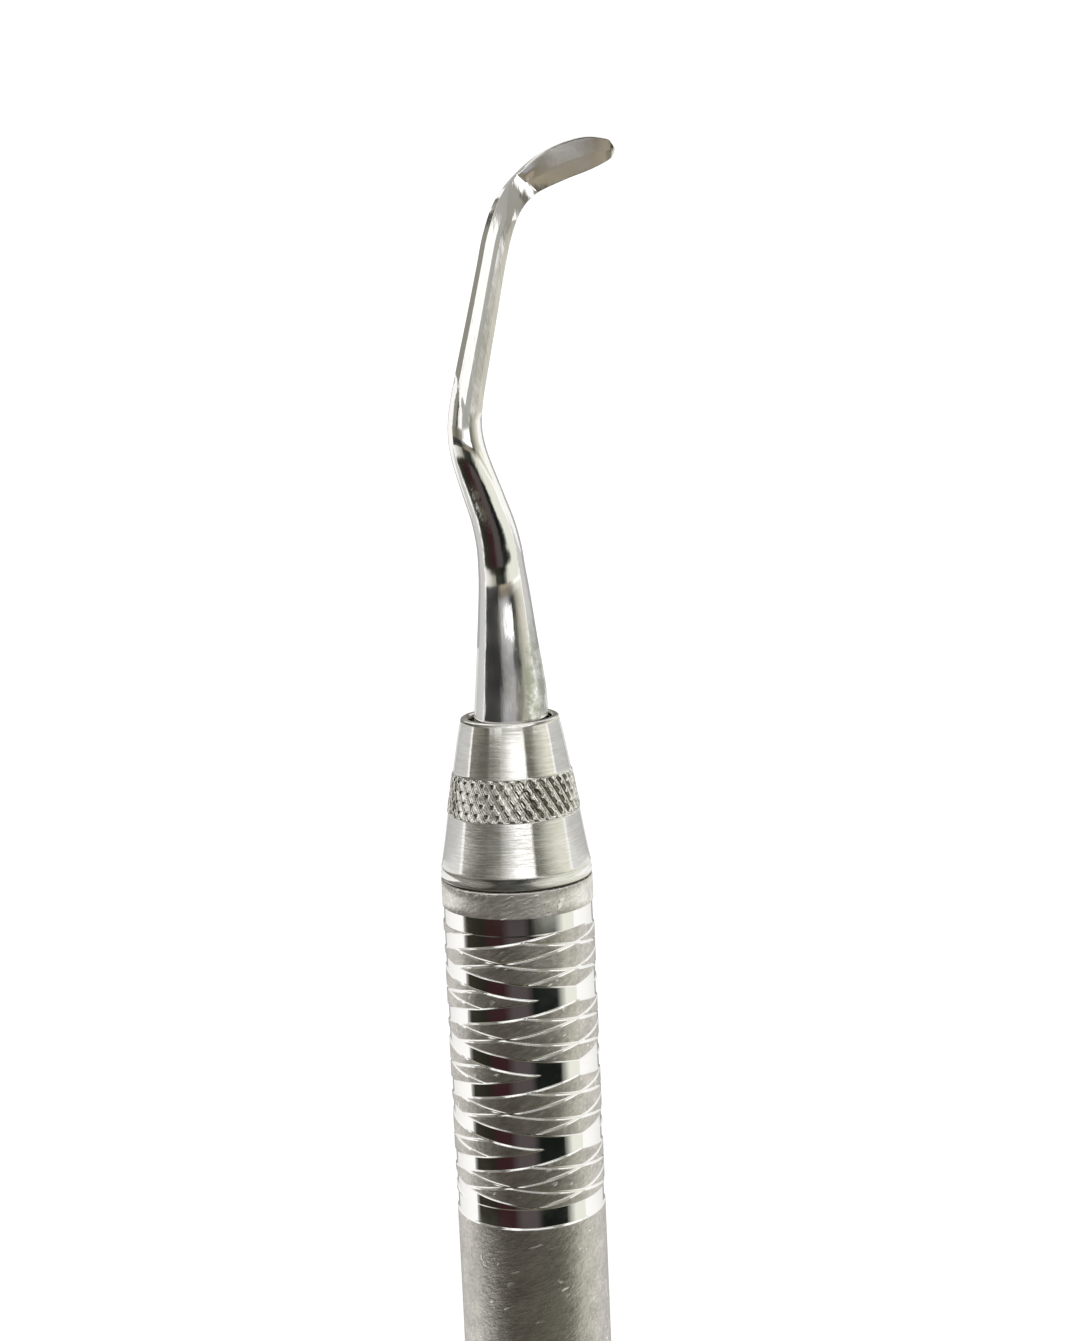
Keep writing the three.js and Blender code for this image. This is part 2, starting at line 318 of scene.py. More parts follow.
def curved_profile(points, step=0.12):
    """Rings along a cubic fitted to a few points, and meeting the first and the last."""
    known_out, known_radius = np.array(points).T
    fit = np.polyfit(known_out, known_radius, 3)
    outs = np.arange(known_out[0], known_out[-1], step)
    outs = np.append(outs, known_out[-1])
    radii = np.polyval(fit, outs)
    ease = (outs - outs[0]) / (outs[-1] - outs[0])
    radii += (1 - ease) * (known_radius[0] - radii[0]) + ease * (known_radius[-1] - radii[-1])
    return list(outs), list(radii)


def wave_distance(value, period):
    """Distance to the nearest multiple of the period."""
    return np.abs((value + period / 2) % period - period / 2)


def smooth(value, low, high):
    """0 to 1 as the value goes from low to high, level at both ends."""
    share = np.clip((value - low) / (high - low), 0, 1)
    return share * share * (3 - 2 * share)


def finish_piece(piece, body, node):
    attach(piece, body)
    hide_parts(node)


# ================================================================ finishes
class Shader:
    """A material under construction."""

    def __init__(self, name, colour, metallic, roughness):
        self.material = bpy.data.materials.new(name)
        self.material.use_nodes = True
        self.nodes = self.material.node_tree.nodes
        self.links = self.material.node_tree.links
        self.surface = self.nodes["Principled BSDF"]
        self.surface.inputs["Base Color"].default_value = (*colour, 1)
        self.surface.inputs["Metallic"].default_value = metallic
        self.surface.inputs["Roughness"].default_value = roughness
        self.place = self.add("ShaderNodeTexCoord").outputs["Object"]
        self.normal = None

    def add(self, kind, **settings):
        node = self.nodes.new(kind)
        for key, value in settings.items():
            setattr(node, key, value)
        return node

    def mapped(self, scale=(1, 1, 1)):
        """Coordinates multiplied by a scale along each axis."""
        node = self.add("ShaderNodeMapping")
        self.links.new(self.place, node.inputs["Vector"])
        node.inputs["Scale"].default_value = scale
        return node.outputs["Vector"]

    def along(self, axis):
        """Distance along one of the instrument's axes, in metres."""
        node = self.add("ShaderNodeSeparateXYZ")
        self.links.new(self.place, node.inputs["Vector"])
        return node.outputs[axis]

    def stretched(self, lengths, slant):
        """Coordinates whose features are drawn out along an axis turned by slant about Z."""
        node = self.add("ShaderNodeMapping", vector_type="TEXTURE")
        self.links.new(self.place, node.inputs["Vector"])
        node.inputs["Scale"].default_value = lengths
        node.inputs["Rotation"].default_value = (0, 0, slant)
        return node.outputs["Vector"]

    def maths(self, operation, *values):
        node = self.add("ShaderNodeMath", operation=operation)
        for socket, value in zip(node.inputs, values):
            self.links.new(value, socket)
        return node.outputs["Value"]

    def noise(self, vector, scale, detail, rough):
        node = self.add("ShaderNodeTexNoise")
        self.links.new(vector, node.inputs["Vector"])
        node.inputs["Scale"].default_value = scale
        node.inputs["Detail"].default_value = detail
        node.inputs["Roughness"].default_value = rough
        return node.outputs["Fac"]

    def spread(self, value, low, high, to_low=0, to_high=1):
        """A value between low and high, moved to lie between two others."""
        node = self.add("ShaderNodeMapRange")
        self.links.new(value, node.inputs["Value"])
        node.inputs["From Min"].default_value = low
        node.inputs["From Max"].default_value = high
        node.inputs["To Min"].default_value = to_low
        node.inputs["To Max"].default_value = to_high
        return node.outputs["Result"]

    def drive(self, socket, value):
        self.links.new(value, self.surface.inputs[socket])

    def bump(self, height, distance, strength):
        """Relief on top of any that is there already."""
        node = self.add("ShaderNodeBump")
        node.inputs["Strength"].default_value = strength
        node.inputs["Distance"].default_value = distance
        self.links.new(height, node.inputs["Height"])
        if self.normal is not None:
            self.links.new(self.normal, node.inputs["Normal"])
        self.normal = node.outputs["Normal"]
        self.drive("Normal", self.normal)

    def blend(self, factor, first, second):
        """A colour between two, each of them a colour or a socket."""
        node = self.add("ShaderNodeMix", data_type="RGBA")
        self.links.new(factor, node.inputs["Factor"])
        for socket, colour in ((node.inputs[6], first), (node.inputs[7], second)):
            if isinstance(colour, bpy.types.NodeSocket):
                self.links.new(colour, socket)
            else:
                socket.default_value = (*colour, 1)
        return node.outputs[2]

    def tint(self, factor, dark, light):
        self.drive("Base Color", self.blend(factor, dark, light))


def blasted_steel(name, colour, roughness, specked_rim=False):
    """Bead-blasted steel: cloudy, with fine slanting scratches and a few bright specks of painted
    glint. With specked_rim, brighter specks also gather near the collar's rim.
    """
    shade = Shader(name, colour, 1.0, roughness)
    plain = shade.mapped()
    slant = shade.stretched((4.5, 1, 1), FLECK_SLANT)
    cloud = shade.noise(shade.stretched((1.6, 1, 1), FLECK_SLANT), 900, 5.0, 0.62)
    scratches = shade.noise(slant, 5200, 3.0, 0.6)
    shade.bump(shade.noise(plain, 6500, 3.0, 0.6), 0.00002, 0.5)
    shade.bump(scratches, 0.00004, 0.8)
    shade.bump(cloud, 0.0001, 0.35)
    # Painted glints: sparse bright specks along the slant.
    glints = shade.spread(shade.noise(slant, 4200, 0.0, 0.5), 0.68, 0.78)
    glint_spots = shade.spread(shade.noise(plain, 700, 1.0, 0.5), 0.52, 0.66)
    bright = shade.maths("MULTIPLY", glints, glint_spots)
    # Brighter specks in a narrow band near the collar's rim, in the same near-white.
    if specked_rim:
        rim = shade.spread(shade.maths("ABSOLUTE", shade.along("X")), *RIM_SPECK_BAND)
        rim_specks = shade.spread(shade.noise(plain, 2600, 2.0, 0.6), 0.54, 0.6)
        bright = shade.maths("MAXIMUM", bright, shade.maths("MULTIPLY", rim, rim_specks))
    clouded = shade.spread(cloud, 0.3, 0.7, 0, 0.55)
    mottle = shade.maths("ADD", clouded, shade.spread(scratches, 0.35, 0.65, 0, 0.45))
    darker = [0.68 * part for part in colour]
    lighter = [1.32 * part for part in colour]
    # The mottle is the steel's own tone. The painted glints, and any rim specks, go on top in
    # near-white.
    shade.tint(bright, shade.blend(mottle, darker, lighter), FLECK_COLOUR)
    shade.bump(bright, 0.00004, 0.8)
    return shade.material


def polished_steel():
    """Mirror-polished steel with a trace of wiping marks."""
    shade = Shader("polished_steel", (0.86, 0.85, 0.82), 1.0, 0.05)
    haze = shade.noise(shade.mapped(), 700, 4.0, 0.6)
    shade.drive("Roughness", shade.spread(haze, 0.3, 0.75, 0.03, 0.13))
    marks = shade.noise(shade.mapped((0.12, 1, 1)), 2600, 2.0, 0.5)
    shade.bump(marks, 0.000012, 0.25)
    return shade.material


def satin_steel():
    """Steel turned in a lathe: fine rings blur reflections along the axis only."""
    shade = Shader("satin_steel", (0.8, 0.79, 0.75), 1.0, 0.11)
    shade.surface.inputs["Anisotropic"].default_value = 1.0
    shade.surface.inputs["Anisotropic Rotation"].default_value = 0.25
    tangent = shade.add("ShaderNodeTangent", direction_type="RADIAL", axis="X")
    shade.links.new(tangent.outputs["Tangent"], shade.surface.inputs["Tangent"])
    rings = shade.noise(shade.mapped((1, 0.06, 0.06)), 9000, 3.0, 0.7)
    shade.bump(rings, 0.000012, 0.4)
    shade.tint(shade.spread(rings, 0.3, 0.7), (0.68, 0.67, 0.63), (0.88, 0.87, 0.84))
    cloud = shade.noise(shade.mapped((1, 0.5, 0.5)), 2600, 3.0, 0.6)
    shade.bump(cloud, 0.00002, 0.25)
    shade.drive("Roughness", shade.spread(cloud, 0.3, 0.7, 0.09, 0.14))
    return shade.material


def knurled_steel():
    """The knurl's pressed facets: cloudier and darker than the turned steel round them."""
    shade = Shader("knurled_steel", (0.6, 0.59, 0.54), 1.0, 0.1)
    knurl_blotches = shade.noise(shade.mapped(), 3200, 3.0, 0.6)
    # Darker in blotches all over the knurled band.
    shade.tint(shade.spread(knurl_blotches, 0.35, 0.6), (0.4, 0.39, 0.35), (0.84, 0.83, 0.78))
    shade.bump(knurl_blotches, 0.00001, 0.5)
    return shade.material


def tip_steel():
    """The polished tip, streaked along its length, with a rougher, greenish, darker patch on the
    front tip's right flank near its root.
    """
    shade = Shader("tip_steel", TIP_COLOUR, 1.0, 0.08)
    plain = shade.mapped()
    haze = shade.noise(plain, 500, 4.0, 0.6)
    marks = shade.noise(shade.mapped((0.1, 1, 1)), 2600, 3.0, 0.6)
    shade.bump(marks, 0.00003, 0.45)
    blotch = shade.noise(plain, 1100, 4.0, 0.65)
    root = shade.spread(shade.along("X"), *DARK_PATCH_ALONG, 1, 0)
    flank = shade.spread(shade.along("Y"), *DARK_PATCH_ACROSS, 1, 0)
    place = shade.maths("MULTIPLY", root, flank)
    # A darker, greenish, rougher patch in blotches near the root.
    dark_patch = shade.maths("MULTIPLY", place, shade.spread(blotch, 0.4, 0.56))
    shade.tint(dark_patch, TIP_COLOUR, DARK_PATCH_COLOUR)
    hazed = shade.spread(haze, 0.3, 0.75, 0.05, 0.15)
    shade.drive("Roughness", shade.maths("ADD", hazed, shade.spread(dark_patch, 0, 1, 0, 0.2)))
    return shade.material


def black_rubber():
    shade = Shader("black_rubber", (0.012, 0.011, 0.01), 0.0, 0.6)
    shade.bump(shade.noise(shade.mapped(), 6000, 2.0, 0.5), 0.00001, 0.5)
    return shade.material


BLASTED = blasted_steel("blasted_steel", BLASTED_COLOUR, 0.36)
# A lighter copy of the blasted steel for the collar: painted light.
LIT_COLLAR_FINISH = blasted_steel("collar_steel_lit", LIT_COLLAR_COLOUR, 0.4, specked_rim=True)
POLISHED = polished_steel()
SATIN = satin_steel()
KNURLED = knurled_steel()
TIP_FINISH = tip_steel()
RUBBER = black_rubber()


# ================================================================ handle
def cut(position, centre, half, depth):
    """Depth of a flat-bottomed cut with bevelled walls, repeated every lead."""
    away = wave_distance(position - centre, GRIP_LEAD)
    return depth * np.clip((half + CUT_BEVEL - away) / CUT_BEVEL, 0, 1)


def grip_relief(inward, turn):
    """How deep the grip is cut: two families of three spirals, and a plain ring at each end."""
    advance = GRIP_LEAD * (np.degrees(turn) + GRIP_TURN) / 360
    base = inward - GRIP_PHASE
    third = GRIP_LEAD / 3
    depth = np.zeros(np.broadcast(inward, turn).shape)
    for position, wide_at in ((base - advance, third), (base + advance, -third)):
        depth = np.maximum(depth, cut(position, wide_at, WIDE_HALF, WIDE_DEPTH))
        depth = np.maximum(depth, cut(position, 0, THIN_HALF, THIN_DEPTH))
        depth = np.maximum(depth, cut(position, -wide_at, THIN_HALF, THIN_DEPTH))
    depth = np.where(inward > GRIP_RING_FROM, RING_DEPTH, depth)
    depth = np.where(inward < GRIP_PLAIN_END, np.maximum(depth, RING_DEPTH), depth)
    closing = np.clip((GRIP_END - inward) / RING_CHAMFER, 0, 1)
    return depth * closing


def handle_places():
    """Distances of the handle's rings from its middle: close in the grips, wide between them."""
    end = HANDLE_HALF - GRIP_FROM
    grip_inner = HANDLE_HALF - GRIP_END - RING_CHAMFER
    grip = np.linspace(grip_inner, end, math.ceil((end - grip_inner) / GRIP_STEP) + 1)
    middle = np.linspace(-grip_inner, grip_inner, MIDDLE_RINGS)[1:-1]
    return np.concatenate([-grip[::-1], middle, grip])


def build_handle():
    along = handle_places()
    turn = turns(GRIP_COLUMNS)

    def relief(places, angles):
        local_turn = np.where(places[:, None] < 0, -angles, angles)
        local_turn = (local_turn + np.pi) % (2 * np.pi) - np.pi
        return grip_relief(HANDLE_HALF - np.abs(places)[:, None], local_turn)

    outer = HANDLE_RADIUS - relief(along, turn)
    inner = HANDLE_RADIUS - TUBE_WALL
    end = along[-1]
    inside_places, inside_radii = sharp_profile([
        (-end, outer[0].mean()), (-end, inner), (end, inner), (end, outer[-1].mean()),
    ])
    # The inside runs the other way, so the rings go round as one loop: out over, back under.
    places = np.concatenate([along, inside_places[::-1], along[:1]])
    radii = np.concatenate([outer, all_round(inside_radii[::-1], GRIP_COLUMNS), outer[:1]])
    rows = turned_rows(places - HANDLE_HALF, radii, GRIP_COLUMNS, False)

    centre_places = (along[:-1] + along[1:]) / 2
    centre_turn = turn + np.pi / GRIP_COLUMNS
    is_cut = relief(centre_places, centre_turn) > CUT_SHOWS
    faces = np.zeros((len(places) - 1, GRIP_COLUMNS), int)
    faces[: len(centre_places)] = is_cut
    handle = skin("handle_shell", rows, [BLASTED, POLISHED], faces)
    finish_piece(handle, "handle", "handle_tube")


# ================================================================ insert, seal and cone
def thread_height(outs, turn, root_width, crest_width):
    """0 to 1: how far a right-handed ridge stands over its root at each place."""
    advance = THREAD_PITCH * (turn + math.radians(THREAD_TURN)) / (2 * np.pi)
    away = wave_distance(outs[:, None] - advance, THREAD_PITCH)
    flank = (root_width - crest_width) / 2
    return np.clip((root_width / 2 - away) / flank, 0, 1)


def build_insert(name, rear):
    """Collar and hidden sleeve, with a real internal thread."""
    bore = THREAD_MINOR + THREAD_CLEARANCE
    sleeve = HANDLE_RADIUS - TUBE_WALL - PRESS_GAP
    outer_outs, outer_radii = sharp_profile([
        (INSERT_END, bore), (INSERT_END, sleeve - CHAMFER), (INSERT_END + CHAMFER, sleeve),
        (-COLLAR_LENGTH, sleeve), (-COLLAR_LENGTH, HANDLE_RADIUS), (-COLLAR_EDGE, HANDLE_RADIUS),
        (0, HANDLE_RADIUS - COLLAR_EDGE), (0, bore + LEAD_IN),
    ])
    thread_outs = np.arange(0, INSERT_END, -THREAD_STEP)
    mouth = np.clip(thread_outs + LEAD_IN, 0, None)
    groove = thread_height(
        thread_outs, turns(INSERT_COLUMNS), RIDGE_ROOT + GROOVE_EXTRA, RIDGE_CREST + GROOVE_EXTRA
    )
    groove *= (thread_outs > GROOVE_END)[:, None]
    cut_to = bore + groove * (THREAD_MAJOR - THREAD_MINOR)
    threaded = np.maximum(cut_to, (bore + mouth)[:, None])
    outs = np.concatenate([outer_outs, thread_outs, [INSERT_END]])
    outer = all_round(outer_radii, INSERT_COLUMNS)
    radii = np.concatenate([outer, threaded, outer[:1]])
    rows = turned_rows(outs, radii, INSERT_COLUMNS, rear)
    insert = skin(name + "_collar", rows, [LIT_COLLAR_FINISH])
    finish_piece(insert, "handle", name + "_insert")


def build_seal(name, rear):
    outs, radii = sharp_profile([
        (SEAL_FROM, SEAL_INNER), (SEAL_FROM, SEAL_OUTER - SEAL_EDGE),
        (SEAL_FROM + SEAL_EDGE, SEAL_OUTER), (SEAL_TO - SEAL_EDGE, SEAL_OUTER),
        (SEAL_TO, SEAL_OUTER - SEAL_EDGE), (SEAL_TO, SEAL_INNER), (SEAL_FROM, SEAL_INNER),
    ])
    seal = skin(name + "_seal_ring", turned_rows(outs, radii, SEAL_COLUMNS, rear), [RUBBER])
    finish_piece(seal, name + "_carrier", name + "_seal")


def knurl_rows(turn):
    """The raised band: two crossing families of V grooves, one of them cut deeper."""
    start, end = CONE_CURVE[-1][0], CONE_TOP_CURVE[0][0]
    outs = np.linspace(start, end, KNURL_RINGS)
    share = (outs - start) / (end - start)
    base = CONE_CURVE[-1][1] * (1 - share) + CONE_TOP_CURVE[0][1] * share
    teeth = KNURL_TEETH * turn / (2 * np.pi)
    rise = (outs / KNURL_SLOPE)[:, None]
    first = 2 * wave_distance(teeth + rise, 1.0)
    second = 2 * wave_distance(teeth - rise, 1.0)
    height = np.minimum(first * DEEP_SLOPE, second * SHALLOW_SLOPE + SHALLOW_FLOOR)
    height = np.clip(height, 0, FLAT_CREST) / FLAT_CREST
    band = smooth(outs, start, start + KNURL_EDGE) * (1 - smooth(outs, end - KNURL_EDGE, end))
    lift = KNURL_PROUD - KNURL_DEPTH * (1 - height)
    return outs, base[:, None] + band[:, None] * lift


def build_cone(name, rear):
    """Knurled cone with a recessed mouth, a hole for the tang and a threaded spigot."""
    turn = turns(CONE_COLUMNS)
    spigot_outs, spigot_radii = sharp_profile([
        (SPIGOT_END, 0), (SPIGOT_END, THREAD_MINOR - CHAMFER), (SPIGOT_END + CHAMFER, THREAD_MINOR),
    ])
    thread_outs = np.arange(SPIGOT_END + CHAMFER, SEAM, THREAD_STEP)
    ridge = thread_height(thread_outs, turn, RIDGE_ROOT, RIDGE_CREST)
    risen, sinking = SPIGOT_END + THREAD_RUNOUT + RUNOUT_EASE, SEAM - THREAD_RUNOUT - RUNOUT_EASE
    runs = smooth(thread_outs, SPIGOT_END + CHAMFER, risen)
    runs *= 1 - smooth(thread_outs, sinking, SEAM - RUNOUT_GAP)
    threaded = THREAD_MINOR + ridge * runs[:, None] * (THREAD_MAJOR - THREAD_MINOR)
    base_outs, base_radii = sharp_profile([
        (SEAM, THREAD_MINOR), (SEAM, SEAL_INNER - SEAL_PLAY), (SEAL_SEAT, SEAL_INNER - SEAL_PLAY),
        (SEAL_SEAT, SEAL_OUTER + SEAL_PLAY), (SEAM, SEAL_OUTER + SEAL_PLAY), (SEAM, CONE_RIM),
        (SEAM + CONE_EDGE, CONE_RIM + RIM_FLARE), CONE_CURVE[0],
    ])
    low_outs, low_radii = curved_profile(CONE_CURVE)
    knurl_outs, knurl_radii = knurl_rows(turn)
    top_outs, top_radii = curved_profile(CONE_TOP_CURVE)
    bore_floor = CONE_LENGTH - MOUTH_DEPTH
    hole = TANG_RADIUS + PRESS_GAP
    mouth_outs, mouth_radii = sharp_profile([
        CONE_TOP_CURVE[-1], (CONE_LENGTH - CONE_EDGE, MOUTH_RADIUS - LIP_ROUND),
        (CONE_LENGTH, MOUTH_RADIUS - LIP_FACE), (CONE_LENGTH, MOUTH_BORE + MOUTH_EDGE),
        (CONE_LENGTH - MOUTH_EDGE, MOUTH_BORE), (bore_floor, MOUTH_BORE), (bore_floor, hole),
        (TANG_FROM - TANG_SPACE, hole), (TANG_FROM - TANG_SPACE, 0),
    ])
    outs = np.concatenate([
        spigot_outs, thread_outs, base_outs, low_outs, knurl_outs, top_outs, mouth_outs,
    ])
    radii = np.concatenate([
        all_round(spigot_radii, CONE_COLUMNS), threaded,
        all_round(base_radii + low_radii, CONE_COLUMNS), knurl_radii,
        all_round(top_radii + mouth_radii, CONE_COLUMNS),
    ])
    first = len(spigot_outs) + len(thread_outs) + len(base_outs) + len(low_outs)
    faces = np.zeros((len(outs) - 1, CONE_COLUMNS), int)
    faces[first : first + len(knurl_outs) - 1] = 1
    rows = turned_rows(outs, radii, CONE_COLUMNS, rear)
    cone = skin(name + "_cone_shell", rows, [SATIN, KNURLED], faces)
    finish_piece(cone, name + "_working_end", name + "_cone")


# ================================================================ tip
def through(points, at):
    """Catmull-Rom curve through rows of numbers, at fractional row numbers."""
    points = np.asarray(points, float)
    first = 2 * points[0] - points[1]
    last = 2 * points[-1] - points[-2]
    padded = np.vstack([first, points, last])
    row = np.clip(np.floor(at).astype(int), 0, len(points) - 2)
    t = (at - row)[:, None]
    a, b, c, d = (padded[row + k] for k in range(4))
    return 0.5 * (2 * b + (c - a) * t + (2 * a - 5 * b + 4 * c - d) * t**2
                  + (3 * b - a - 3 * c + d) * t**3)


def along_facets(corners):
    """Points round a closed polygon: the same shares of the way along each of its sides."""
    corners = np.array(corners, float)
    sides = np.roll(corners, -1, 0) - corners
    shares = np.array(FACET_SHARES)[:, None]
    return (corners[:, None] + shares * sides[:, None]).reshape(-1, 2)


def tip_stations():
    """Fractional station numbers of the rings, close together at the heel line."""
    last = len(SHANK_STATIONS) + len(BLADE_STATIONS) - 1
    even = np.linspace(0, last, TIP_ROWS)
    heel = np.linspace(HEEL - HEEL_MARGIN, HEEL + HEEL_WIDTH + HEEL_MARGIN, HEEL_RINGS)
    return np.unique(np.concatenate([even, heel]))


def tip_rows(rear):
    """Rings from the tang to the blade's end: round, then ground flat on all sides."""
    at = tip_stations()
    shape = through(SHANK_STATIONS + BLADE_STATIONS, at)
    creased = (at > CREASED_FROM)[:, None]
    stations = np.array(SHANK_STATIONS + BLADE_STATIONS)
    known = np.arange(len(stations))
    straight = np.stack([np.interp(at, known, stations[:, k]) for k in (4, 5)], -1)
    shape[:, 4:] = np.where(creased, straight, shape[:, 4:])
    shank = along_facets(SHANK_FACETS)
    blade = along_facets(BLADE_FACETS)
    round_section = shank / np.linalg.norm(shank, axis=1)[:, None]
    leftwards = np.clip((SLANT_SIDE - round_section[:, 0]) / (1 + SLANT_SIDE), 0, 1)
    begins = FACET_FROM + FACET_SLANT * leftwards
    to_shank = smooth(at[:, None], begins, begins + FACET_BLEND)[..., None]
    to_blade = smooth(at, BLADE_FROM, HEEL)[:, None, None]
    section = round_section + to_shank * (shank - round_section)
    section = section + to_blade * (blade - section)
    across = section[..., 0]
    fades = HEEL + HEEL_WIDTH + HEEL_FADE * smooth(-across, *SOFT_SIDES)
    step = HEEL_STEP * smooth(at[:, None], HEEL, fades) * smooth(across, *STEP_SIDES)
    section[..., 1] -= step * np.clip(section[..., 1], 0, 1)
    left, right = shape[:, 0:2], shape[:, 2:4]
    middle, half = (left + right) / 2, (right - left) / 2
    out = middle[:, :1] + half[:, :1] * across
    side = middle[:, 1:] + half[:, 1:] * across
    height = shape[:, 4:5] + shape[:, 5:6] / 2 * section[..., 1]
    if rear:
        height = -height
    skin_rows = placed(out, side, height, rear)
    turn = np.arctan2(round_section[:, 0], round_section[:, 1])
    tang_outs, tang_radii = sharp_profile([
        (TANG_FROM, 0), (TANG_FROM, TANG_RADIUS), (SHANK_STATIONS[0][0] - 0.01, TANG_RADIUS),
    ])
    tang_radii = np.array(tang_radii)[:, None]
    upright = -1 if rear else 1
    tang = placed(
        np.array(tang_outs)[:, None],
        tang_radii * np.sin(turn), upright * tang_radii * np.cos(turn), rear,
    )
    close = skin_rows[-1:].mean(1, keepdims=True).repeat(len(turn), 1)
    return np.concatenate([tang, skin_rows[:1], skin_rows, skin_rows[-1:], close])


def build_tip(name, rear):
    tip = skin(name + "_tip_shell", tip_rows(rear), [TIP_FINISH], flipped=rear)
    finish_piece(tip, name + "_working_end", name + "_tip")


# ================================================================ surroundings
def grey(level, warm=0.0):
    """Linear light from a display level of 0 to 255, yellower by the warmth."""
    shown = np.array([level + warm / 6, level, level - warm], float).clip(0, 255) / 255
    return np.where(shown <= 0.04045, shown / 12.92, ((shown + 0.055) / 1.055) ** 2.4)


WHITE = grey(255) * WORLD_LIGHT
OLIVE = grey(48, 8)
MAROON = np.array([0.04, 0.015, 0.018])
LAVENDER = np.array([0.092, 0.076, 0.078])
GREEN_BLACK = np.array([0.008, 0.011, 0.009])
CREAM = np.array([0.93, 0.945, 0.86])
STONE = np.array([0.225, 0.195, 0.148])
PAPER = grey(235, 12)
ASH = grey(160, 10)
COOL = grey(165, -4)
DUSK = grey(115, 10)
SOOT = grey(65)
END_FOOT = grey(70, 6)
END_SKY = grey(190, 6)
STRIP_GAIN = 1.3

# What the instrument sees overhead: [degrees from the top, light], between which the light runs
# smoothly. Positive angles are towards the right.
OVER_HANDLE = [
    (-102, WHITE), (-86, OLIVE * 1.3), (-58, OLIVE * 0.7), (-47, MAROON), (-27, MAROON),
    (-13, LAVENDER), (7, LAVENDER), (19, GREEN_BLACK), (56, GREEN_BLACK), (72, CREAM),
]
OVER_MIDDLE = [
    (-80, WHITE), (-52, grey(100, 12)), (-24, grey(108, 14)), (30, grey(122, 14)),
    (56, grey(150, 14)), (84, CREAM),
]
OVER_COLLAR = [
    (-104, WHITE), (-90, OLIVE), (-20, OLIVE), (8, GREEN_BLACK), (18, OLIVE), (26, grey(190, 10)),
    (40, CREAM),
]
OVER_RIM = [
    (-100, WHITE), (-62, grey(225, 8)), (-36, grey(160, 8)), (-27, grey(64, 6)),
    (6, GREEN_BLACK * 3), (14, grey(120, 8)), (24, grey(215, 8)), (40, CREAM),
]
# Each vault as [place along the instrument from the handle's middle, what is overhead there].
NEAR_VAULT = [
    (-220, OVER_MIDDLE),
    (-30, OVER_MIDDLE),
    (-20, OVER_HANDLE),
    (15, OVER_HANDLE),
    (19, OVER_COLLAR),
    (27, OVER_COLLAR),
    (33, OVER_RIM),
    (46, OVER_RIM),
]
OVER_BLADE = [
    (-112, WHITE), (-100, grey(110)), (-88, grey(60)), (-30, grey(45)), (-12, STONE), (22, STONE),
    (36, grey(140, 10)), (50, grey(210, 10)), (66, CREAM),
]
EDGE_GAIN = 1.75
OVER_BLADE_EDGE = [(angle, np.minimum(light * EDGE_GAIN, WHITE)) for angle, light in OVER_BLADE]
# A bright wall at each side. Between them a dark stretch, a cool strip at the top, a dark gap.
OVER_SHANK = [
    (-140, PAPER), (-115, ASH), (-100, DUSK), (-70, SOOT), (-35, SOOT), (-20, COOL), (15, COOL),
    (25, SOOT), (40, SOOT), (50, ASH), (90, PAPER), (140, PAPER),
]
# A bright wall at each side. Between them a soft shade, a bright strip, a narrow dark gap.
OVER_CONE = [
    (-140, PAPER), (-90, ASH), (-65, DUSK), (-50, DUSK), (-25, ASH), (-5, WHITE),
    (5, WHITE * STRIP_GAIN), (27, WHITE * STRIP_GAIN), (32, DUSK), (42, DUSK), (80, PAPER),
    (140, PAPER),
]
# The same with more contrast, for the cone's lower half.
OVER_CONE_BASE = [(angle, light * (0.85 + 0.6 * light)) for angle, light in OVER_CONE]
OVER_FACETS = [
    (-100, grey(152, 8)), (-64, grey(152, 8)), (-57, grey(70, 6)), (-50, grey(110, 6)),
    (-45, WHITE), (-38, grey(225, 4)), (-34, WHITE), (-22, WHITE), (-16, grey(180, 4)),
    (20, grey(172, 4)), (52, grey(160, 8)), (56, WHITE), (86, WHITE), (94, grey(165, 4)),
    (145, grey(165, 4)),
]
FAR_VAULT = [
    (-460, OVER_FACETS),
    (-190, OVER_FACETS),
    (-170, OVER_CONE),
    (-90, OVER_CONE),
    (-80, OVER_RIM),
    (4, OVER_RIM),
    (10, OVER_BLADE_EDGE),
    (30, OVER_BLADE_EDGE),
    (37, OVER_BLADE),
    (52, OVER_BLADE),
    (57, OVER_SHANK),
    (76, OVER_SHANK),
    (82, OVER_CONE_BASE),
    (98, OVER_CONE_BASE),
    (106, OVER_CONE),
    (160, OVER_CONE),
    (175, OVER_FACETS),
    (460, OVER_FACETS),
]


def empty_material(name):
    """A material without a surface, with its nodes and links."""
    made = bpy.data.materials.new(name)
    made.use_nodes = True
    made.node_tree.nodes.clear()
    return made, made.node_tree.nodes, made.node_tree.links


def emitting(name):
    """A material that glows with the mesh's own paint."""
    made, nodes, links = empty_material(name)
    paint = nodes.new("ShaderNodeAttribute")
    paint.attribute_name = "paint"
    glow = nodes.new("ShaderNodeEmission")
    output = nodes.new("ShaderNodeOutputMaterial")
    links.new(paint.outputs["Color"], glow.inputs["Color"])
    links.new(glow.outputs["Emission"], output.inputs["Surface"])
    return made


def flat_card(name, corners, finish):
    mesh = bpy.data.meshes.new(name)
    mesh.from_pydata(corners, [], [(0, 1, 2, 3)])
    mesh.materials.append(finish)
    return add_to_scene(name, mesh)


def only_mirrored(card):
    """Marks a stage card as one that only reflections can see."""
    card.visible_camera = False
    card.visible_diffuse = False
    card.visible_shadow = False
    card.visible_transmission = False


def paint_mesh(mesh, colours):
    paint = mesh.attributes.new("paint", "FLOAT_COLOR", "POINT")
    solid = np.concatenate([colours, np.ones((len(colours), 1))], 1)
    paint.data.foreach_set("color", solid.astype(np.float32).ravel())


